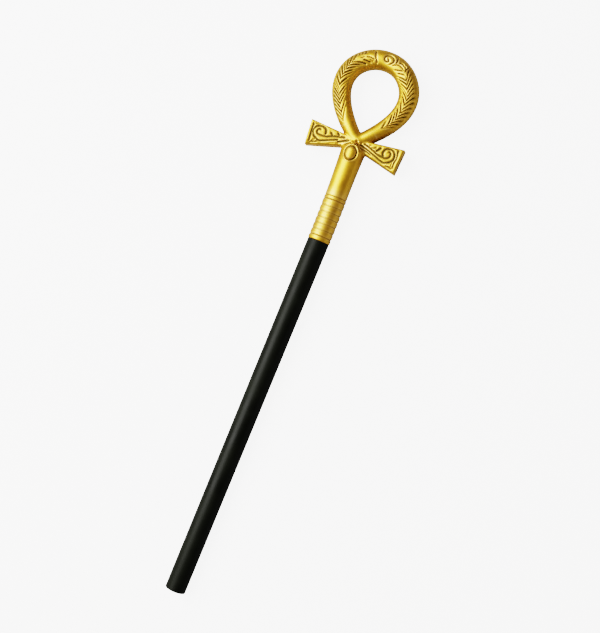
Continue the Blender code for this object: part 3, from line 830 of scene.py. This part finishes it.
# the rough form: a stem, two limbs and two arms, each run past where it will be cut or joined
rough = [bar((STEM_CUT - 6 * MM, 0, 0), (STEM_TOP - 8 * MM, 0, 0), ROUGH_STEM, "crossing")]
for side in (1, -1):
    start = loop_spot(side * (LOOP_CUT - 8 * MM))
    rough.append(bar(start, loop_spot(side * 200 * MM), ROUGH_LIMB, "limb"))
    bpy.ops.object.select_all(action="DESELECT")
    bpy.ops.mesh.primitive_cube_add(size=1, location=(ARM_LEVEL, -side * ARM_MIDDLE, 0))
    arm = new_piece("arm")
    bpy.ops.object.mode_set(mode="EDIT")
    pick("VERT", lambda vert: True)
    cage = bmesh.from_edit_mesh(arm.data)
    upper_in, upper_out, lower_out, lower_in = arm_corners(side)
    for vert in cage.verts:
        outer = (vert.co.y + side * ARM_MIDDLE) * side < 0
        upper = vert.co.x > ARM_LEVEL
        corner = (upper_out if upper else lower_out) if outer else (upper_in if upper else lower_in)
        front = math.copysign(ARM_HALF_THICK, vert.co.z)
        vert.co = (corner[0], corner[1] * side, front)
    bmesh.update_edit_mesh(arm.data)
    bpy.ops.mesh.select_all(action="SELECT")
    bpy.ops.mesh.normals_make_consistent(inside=False)
    bpy.ops.object.mode_set(mode="OBJECT")
    rough.append(arm)


def join(parts):
    """Make several pieces one mesh, under the name of the first."""
    bpy.ops.object.select_all(action="DESELECT")
    for part in parts:
        part.select_set(True)
    bpy.context.view_layer.objects.active = parts[0]
    bpy.ops.object.join()
    return parts[0]


cross = join(rough)
skin = cross.modifiers.new("one skin", "REMESH")
skin.mode = "VOXEL"
skin.voxel_size = VOXEL
bpy.ops.object.modifier_apply(modifier=skin.name)

# open the ends that meet the loop and the round stem
bpy.ops.object.mode_set(mode="EDIT")
for side in (1, -1):
    here = loop_spot(side * (LOOP_CUT + BAND))
    ahead = (loop_spot(side * (LOOP_CUT + 2 * BAND)) - here).normalized()
    pick("FACE", lambda face: face.calc_center_median().x > LIMB_LOW
         and abs(face.calc_center_median().y) < LIMB_OUT)
    bpy.ops.mesh.bisect(plane_co=here, plane_no=ahead, clear_inner=True)
bpy.ops.mesh.select_all(action="SELECT")
bpy.ops.mesh.bisect(plane_co=(STEM_CUT + BAND, 0, 0), plane_no=(1, 0, 0), clear_inner=True)
bpy.ops.object.mode_set(mode="OBJECT")
settle(cross, 6)

# a finer mesh on the front, where the carving is
bpy.ops.object.mode_set(mode="EDIT")
pick("FACE", lambda face: face.normal.z > CARVED_FACING
     and CARVED[0] < face.calc_center_median().x < CARVED[1])
bpy.ops.mesh.subdivide(number_cuts=1)
bpy.ops.object.mode_set(mode="OBJECT")
surface = settle(cross, 3)
facing = slope(surface)
facing /= np.linalg.norm(facing, axis=1)[:, None]

# ---------------------------------------- ankh head: carving on the arms
# Each arm carries a scroll whose stem runs out from the middle and curls up at the end, with cut
# leaves above it and a small leaf in the outer corner, inside a plain border.  A small knot and an
# oval boss with a rim stand in the middle.

# Cuts on each arm, as (out from the staff's axis, up from the joint), with their half width and
# depth, all in mm.  The right arm is on side 1.
ARM_MARKS = {
    1: [
        ([(9.4, 176.8), (14.5, 175.2), (20.7, 172.7), (27.0, 170.2), (33.3, 167.7), (40.2, 165.0),
          (45.3, 162.7), (51.5, 160.3), (57.5, 159.0), (61.5, 160.6), (65.8, 163.4), (69.6, 166.6),
          (71.7, 171.2), (71.5, 175.5), (70.2, 179.5), (67.2, 183.1), (62.9, 184.9), (57.8, 184.7),
          (54.0, 182.8), (51.5, 179.2), (50.9, 174.9), (52.2, 171.4), (54.9, 168.6)], 1.05, 1.6),
        ([(59.0, 178.7), (61.0, 180.0), (63.4, 178.7), (64.3, 175.3), (63.4, 171.7), (60.8, 169.3),
          (57.0, 168.2), (52.0, 168.6), (46.0, 169.2), (41.0, 170.7), (35.2, 173.6), (30.2, 175.5),
          (25.1, 177.1), (20.0, 178.1), (15.0, 179.2)], 0.95, 1.5),
        ([(10.4, 171.9), (13.8, 170.3), (18.0, 169.2), (22.0, 168.2), (27.7, 166.1), (33.0, 164.2)],
         0.8, 1.2),
        ([(10.0, 177.0), (11.2, 178.6), (13.4, 179.4)], 0.8, 1.0),
        ([(45.8, 183.2), (43.6, 179.9), (40.9, 176.6), (38.4, 172.6)], 1.1, 1.7),
        ([(38.0, 181.4), (35.6, 178.6), (31.8, 176.8), (27.4, 177.2)], 0.9, 1.1),
        ([(29.4, 181.2), (26.8, 180.1), (24.0, 178.8)], 0.8, 0.9),
        ([(74.9, 189.2), (74.6, 183.7), (75.3, 178.0), (75.4, 172.5), (74.4, 168.0), (73.9, 162.0),
          (74.2, 154.0)], 0.95, 1.4),
        ([(61.0, 156.4), (65.5, 155.3), (69.8, 154.1), (74.0, 153.3)], 0.9, 1.2),
        ([(71.3, 167.5), (71.0, 162.0), (71.4, 156.0)], 0.7, 0.8),
        ([(60.0, 158.8), (63.4, 159.6), (66.8, 161.8), (68.6, 164.8)], 0.8, 1.0),
        ([(62.5, 187.3), (68.0, 188.2), (74.4, 189.2)], 0.7, 0.7),
    ],
    -1: [
        ([(28.0, 172.3), (33.0, 169.9), (37.7, 168.0), (44.0, 165.5), (50.3, 162.9), (57.0, 160.4),
          (61.5, 160.4), (66.0, 162.6), (70.6, 165.4), (73.4, 168.2), (75.6, 173.0), (74.8, 177.6),
          (72.3, 181.3), (68.5, 183.8), (63.5, 185.0), (58.5, 184.3), (54.8, 181.8), (53.0, 177.6),
          (53.0, 172.4)], 1.05, 1.6),
        ([(62.0, 178.2), (64.7, 179.6), (67.3, 177.6), (68.2, 174.3), (67.0, 171.7), (64.1, 170.3),
          (59.7, 169.9), (54.7, 170.2), (49.7, 170.8), (46.0, 172.0), (40.9, 174.2), (36.0, 175.6),
          (30.0, 176.9), (24.0, 178.2), (18.0, 179.2)], 0.95, 1.5),
        ([(10.7, 177.4), (15.7, 174.4), (20.7, 171.5), (25.0, 169.3), (30.0, 167.6)], 1.15, 1.8),
        ([(5.2, 175.2), (9.4, 173.2), (13.8, 170.5), (17.4, 168.4)], 1.3, 1.35),
        ([(45.4, 180.6), (43.6, 178.6), (41.3, 176.6), (39.0, 174.9)], 1.0, 1.6),
        ([(33.6, 184.0), (31.6, 181.2), (28.0, 178.6)], 1.0, 1.4),
        ([(78.3, 187.4), (77.9, 182.4), (77.9, 176.8), (77.5, 171.0), (76.8, 163.0), (76.2, 153.0)],
         0.95, 1.4),
        ([(62.0, 157.4), (66.6, 156.0), (72.3, 154.0), (76.0, 153.0)], 0.9, 1.3),
        ([(66.0, 160.4), (69.8, 158.4), (73.0, 158.6)], 0.8, 1.0),
        ([(65.0, 187.4), (71.0, 187.2), (77.6, 186.8)], 0.8, 1.0),
        ([(33.0, 165.6), (38.0, 163.6), (44.0, 161.6)], 0.6, 0.5),
    ],
}
# The cuts in the middle, given as those on the right arm are, and the knot's two raised strands.
MIDDLE_MARKS = [
    ([(-0.6, 179.6), (1.8, 179.8), (4.0, 178.4), (4.6, 176.0), (3.2, 173.4), (1.8, 171.4)], 0.75, 1.2),
    ([(0.4, 169.4), (3.8, 168.8), (7.4, 167.6)], 0.8, 1.2),
    ([(7.2, 178.2), (6.8, 175.0), (5.8, 171.6)], 0.8, 1.1),
    ([(8.4, 171.4), (12.0, 167.8), (14.0, 163.4)], 0.8, 0.9),
]
KNOT = [
    [(-5.4, 173.2), (-2.4, 176.0), (0.4, 177.0), (1.4, 175.2), (0.2, 172.6), (-1.6, 170.8)],
    [(7.0, 178.6), (6.4, 175.6), (5.2, 173.0), (3.2, 170.8)],
]
ARM_STROKE = 1.42                      # the cuts on the arms are this much wider than listed
MIDDLE_STROKE = 1.25                   # and those in the middle this much
FRONT = (0.25, 0.6)                    # the carving grows as the surface turns to the front
CLEAR_OF_LIMBS = (0.4 * MM, 1.6 * MM)  # and as it leaves the limbs,
LIMBS_FROM = (178 * MM, 182 * MM)      # which are bare above these levels
PANEL_SHADE = 0.66 * MM                 # painted shade darkens the arms, like the wash in a cut this deep
PANEL_FROM = (20 * MM, 30 * MM)        # it starts between these distances from the axis
KNOT_RISE = 1.3 * MM
KNOT_WIDTH = 1.5 * MM
BOSS_LEVEL = 156.4 * MM
BOSS_ACROSS = 0.6 * MM
BOSS_HALF_UP = 10.3 * MM
BOSS_HALF_ACROSS = 8.6 * MM
BOSS_RISE = 2.4 * MM
BOSS_CUT = 1.5 * MM
BOSS_CUT_GAP = 1.5 * MM
BOSS_CUT_WIDTH = 1.3 * MM
RIM_GAP = 3.9 * MM
RIM_RISE = 0.8 * MM
RIM_WIDTH = 1.1 * MM
CUT_THROUGH = (0.2 * MM, 0.9 * MM)     # raised forms give way to cuts between these depths

across = -surface[:, 1]
up = surface[:, 0]
front = ease(facing[:, 2], *FRONT)
limbs = np.minimum(limb_distance(surface, 1), limb_distance(surface, -1))
free = np.maximum(ease(limbs, *CLEAR_OF_LIMBS), 1 - ease(up, *LIMBS_FROM))
cut = np.zeros(len(surface))
worn = np.zeros(len(surface))
marks = [(side, ARM_STROKE, *mark) for side in (1, -1) for mark in ARM_MARKS[side]]
marks += [(1, MIDDLE_STROKE, *mark) for mark in MIDDLE_MARKS]
for side, wider, line, width, depth in marks:
    depth *= MM
    spots = np.column_stack((across * side, up))
    cut = np.maximum(cut, depth * stroke(spots, line, wider * width * MM))
    worn = np.maximum(worn, SHOULDER * depth * stroke(spots, line, SHOULDER_WIDTH))
cut *= front * free
worn *= front * free

# the oval boss, its cut and its rim
oval = np.hypot((up - BOSS_LEVEL) / BOSS_HALF_UP, (across - BOSS_ACROSS) / BOSS_HALF_ACROSS)
from_oval = (oval - 1) * (BOSS_HALF_UP + BOSS_HALF_ACROSS) / 2
dome = BOSS_RISE * np.sqrt(np.clip(1 - oval ** 2, 0, 1))
ring_cut = BOSS_CUT * np.exp(-(((from_oval - BOSS_CUT_GAP) / BOSS_CUT_WIDTH) ** 2))
rim = RIM_RISE * np.exp(-(((from_oval - RIM_GAP) / RIM_WIDTH) ** 2))
raised = (dome + rim) * front
flat_spots = np.column_stack((across, up))
for line in KNOT:
    raised = np.maximum(raised, KNOT_RISE * stroke(flat_spots, line, KNOT_WIDTH) * front)
cut = np.maximum(cut, ring_cut * front)
raised *= 1 - ease(cut, *CUT_THROUGH) * (oval > 1)
surface = surface + facing * (raised - cut - worn)[:, None]
cross.data.vertices.foreach_set("co", surface.ravel())
# the arms get painted shade over them, besides the wash and painted shade in the cuts
on_arms = ease(np.abs(across), *PANEL_FROM) * front
keep_depth(cross, np.maximum(cut, PANEL_SHADE * on_arms))

# ---------------------------------------- ankh head: one piece
# The loop, the crossing and the round stem become one closed skin, bent and laid down as the
# head lies, with a small flat under the flare of the stem where it touches the floor.

CREST_ROUNDS = 8                       # how far a cut's neighbourhood reaches, in mesh steps
CREST_GAIN = 3.0
SEAM_REACH = 24 * MM                   # a seam's edges lie this near to its middle

head = join((cross, loop, stem))
head.name = "ankh_head_gold"
bpy.ops.object.mode_set(mode="EDIT")
seams = [loop_spot(LOOP_CUT), loop_spot(-LOOP_CUT), Vector((STEM_CUT, 0, 0))]
for seam in seams:
    pick("EDGE", lambda edge: edge.is_boundary and (middle(edge) - seam).length < SEAM_REACH)
    bpy.ops.mesh.bridge_edge_loops()
bpy.ops.mesh.select_all(action="SELECT")
bpy.ops.mesh.normals_make_consistent(inside=False)
bpy.ops.object.mode_set(mode="OBJECT")

straight = points_of(head)
bend_radius = BEND_LENGTH / HEAD_BEND
turn = np.clip(straight[:, 0], 0, BEND_LENGTH) / bend_radius
beyond = straight[:, 0] - np.clip(straight[:, 0], 0, BEND_LENGTH)
bent = np.column_stack((
    bend_radius * np.sin(turn) + beyond * np.cos(turn) - straight[:, 1] * np.sin(turn),
    bend_radius * (1 - np.cos(turn)) + beyond * np.sin(turn) + straight[:, 1] * np.cos(turn),
    straight[:, 2],
))
head.data.vertices.foreach_set("co", bent.ravel())
head.data.transform(lie)
trim_at_floor(head)
bpy.ops.object.shade_smooth_by_angle(angle=math.radians(75))

# a vertex is on a crest where the skin around it lies deeper than it does; the crests get a painted
# highlight
count = len(head.data.vertices)
depth = np.zeros(count, np.float32)
head.data.attributes["recess"].data.foreach_get("value", depth)
ends = np.zeros(len(head.data.edges) * 2, int)
head.data.edges.foreach_get("vertices", ends)
near, far = ends[0::2], ends[1::2]
degree = np.bincount(ends, minlength=count)
around = depth
for _ in range(CREST_ROUNDS):
    around = np.bincount(near, around[far], count) + np.bincount(far, around[near], count)
    around = around / np.maximum(degree, 1)
highlit_crest = np.clip((around - depth) * CREST_GAIN, 0, 1).astype(np.float32)
head.data.attributes.new("highlit_crest", "FLOAT", "POINT").data.foreach_set("value", highlit_crest)


def gold_paint():
    """Satin gold paint with fine metal flake, a dark wash and painted shade in the cuts, and rubbed
    high spots with a painted highlight.
    """
    material, tree, shader = new_finish("satin_gold_paint")
    shader.inputs["Coat Roughness"].default_value = 0.388
    link = tree.links.new

    # the metal flake, and patches where the paint lies thicker
    skin = add(tree, "ShaderNodeGroup", {
        "Vector": add(tree, "ShaderNodeTexCoord").outputs["Object"],
        "Patch Scale": 55.0,
        "Patch Detail": 6.0,
        "Patch Roughness": 0.6,
        "Least Rough": 0.45,
        "Most Rough": 0.53,
        "Grain Scale": 900.0,
        "Grain Height": 0.0001,
    }, node_tree=PATCHES_AND_GRAIN)
    link(skin.outputs["Roughness"], shader.inputs["Roughness"])
    link(skin.outputs["Normal"], shader.inputs["Normal"])
    deep, bright = (0.499, 0.279, 0.0240, 1), (0.586, 0.341, 0.0330, 1)
    tone = two_tones(tree, skin.outputs["Patches"], 0.3, deep, 0.7, bright)

    # the crests beside the cuts are rubbed to a paler gold, partly a painted highlight
    highlit_crest = add(tree, "ShaderNodeAttribute", attribute_name="highlit_crest").outputs["Fac"]
    worn = add(tree, "ShaderNodeMath", {0: highlit_crest, 1: 0.52}, operation="MULTIPLY")
    rubbed_highlight = mixed(tree, worn.outputs["Value"], tone, (0.90, 0.64, 0.36, 1))

    # the wash and painted shade lie in the cuts, uneven along them
    patchy = add(tree, "ShaderNodeMath", {
        0: skin.outputs["Patches"],
        1: 0.5,
        2: -0.25,
    }, operation="MULTIPLY_ADD")
    uneven = add(tree, "ShaderNodeMath", {
        0: add(tree, "ShaderNodeAttribute", attribute_name="recess").outputs["Fac"],
        1: patchy.outputs["Value"],
    }, operation="ADD")
    wash_and_shade = add(tree, "ShaderNodeMapRange", {
        "Value": uneven.outputs["Value"],
        "From Min": 0.36,
        "From Max": 0.80,
    }, interpolation_type="SMOOTHSTEP").outputs["Result"]
    link(mixed(tree, wash_and_shade, rubbed_highlight, (0.104, 0.070, 0.0024, 1)), shader.inputs["Base Color"])

    # the wash and painted shade are less metallic than the paint, and have no lacquer over them
    for socket, on_paint, on_shaded_wash in (("Metallic", 0.90, 0.60), ("Coat Weight", 0.44, 0.0)):
        share = add(tree, "ShaderNodeMapRange", {"Value": wash_and_shade, "To Min": on_paint, "To Max": on_shaded_wash})
        link(share.outputs["Result"], shader.inputs[socket])
    return material


head.data.materials.clear()
head.data.materials.append(gold_paint())
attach(head, "root")
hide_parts("ankh_head")

# ---------------------------------------- floor, light and camera
# A plain white studio table, a long soft box to the staff's left and a weaker one to its right,
# and a camera that looks down on the carved face.

TABLE_SIZE = 16.0
CAMERA_DISTANCE = 1.944
CAMERA_FOCAL = 65.4                    # mm, for a frame 36 mm high
CAMERA_TWIST = math.radians(11)        # the camera stands a little to the staff's right
CAMERA_ROLL = math.radians(22.375)     # and is rolled, so that the staff leans to its right
AIM_ALONG = -129.3 * MM                # the camera's aim on the staff, up it from the joint
AIM_ACROSS = 19.5 * MM                 # and to its right

bpy.ops.object.select_all(action="DESELECT")
bpy.ops.mesh.primitive_plane_add(size=TABLE_SIZE, location=(0, 0, 0))
table = bpy.context.object
table.name = "table"
white, tree, board = new_finish("white_table")
board.inputs["Base Color"].default_value = (0.346, 0.346, 0.346, 1)
board.inputs["Roughness"].default_value = 0.9
board.inputs["Emission Color"].default_value = (1, 1, 0.99, 1)
seen = add(tree, "ShaderNodeLightPath").outputs["Is Camera Ray"]
glow = add(tree, "ShaderNodeMath", {0: seen, 1: 2.2}, operation="MULTIPLY")
tree.links.new(glow.outputs["Value"], board.inputs["Emission Strength"])
table.data.materials.append(white)

along_staff = lie.to_3x3() @ Vector((1, 0, 0))
left_of_staff = Vector((0, 1, 0))
out_of_face = lie.to_3x3() @ Vector((0, 0, 1))
towards = math.cos(CAMERA_TWIST) * out_of_face - math.sin(CAMERA_TWIST) * left_of_staff
rightwards = -math.cos(CAMERA_TWIST) * left_of_staff - math.sin(CAMERA_TWIST) * out_of_face
view_right = math.sin(CAMERA_ROLL) * along_staff + math.cos(CAMERA_ROLL) * rightwards
view_up = math.cos(CAMERA_ROLL) * along_staff - math.sin(CAMERA_ROLL) * rightwards
stand = joint + AIM_ALONG * along_staff + AIM_ACROSS * rightwards + CAMERA_DISTANCE * towards
camera = bpy.data.objects.new("camera", bpy.data.cameras.new("camera"))
bpy.context.scene.collection.objects.link(camera)
turned_to_staff = Matrix((view_right, view_up, towards)).transposed().to_4x4()
camera.matrix_world = Matrix.Translation(stand) @ turned_to_staff
camera.data.sensor_fit = "VERTICAL"
camera.data.sensor_height = 36
camera.data.lens = CAMERA_FOCAL
bpy.context.scene.camera = camera


def soft_box(name, place, target, size, power):
    """A rectangular soft light that faces a target."""
    lamp = bpy.data.objects.new(name, bpy.data.lights.new(name, "AREA"))
    bpy.context.scene.collection.objects.link(lamp)
    lamp.data.shape = "RECTANGLE"
    lamp.data.size, lamp.data.size_y = size
    lamp.data.energy = power
    lamp.location = place
    lamp.rotation_euler = (Vector(target) - Vector(place)).to_track_quat("-Z", "Y").to_euler()


soft_box("key_light", (0.1, 1.368, 1.799), (0.1, 0, 0), (2.6, 1.90), 136.0)
soft_box("fill_light", (0.1, -2.364, 0.317), (0.1, 0, 0), (2.6, 0.50), 6.2)
world = bpy.data.worlds.new("studio")
world.use_nodes = True
sky = world.node_tree.nodes["Background"]
sky.inputs["Color"].default_value = (1.0, 0.99, 0.97, 1)
sky.inputs["Strength"].default_value = 0.155
bpy.context.scene.world = world
bpy.context.scene.view_settings.view_transform = "Filmic"
bpy.context.scene.view_settings.look = "Very High Contrast"
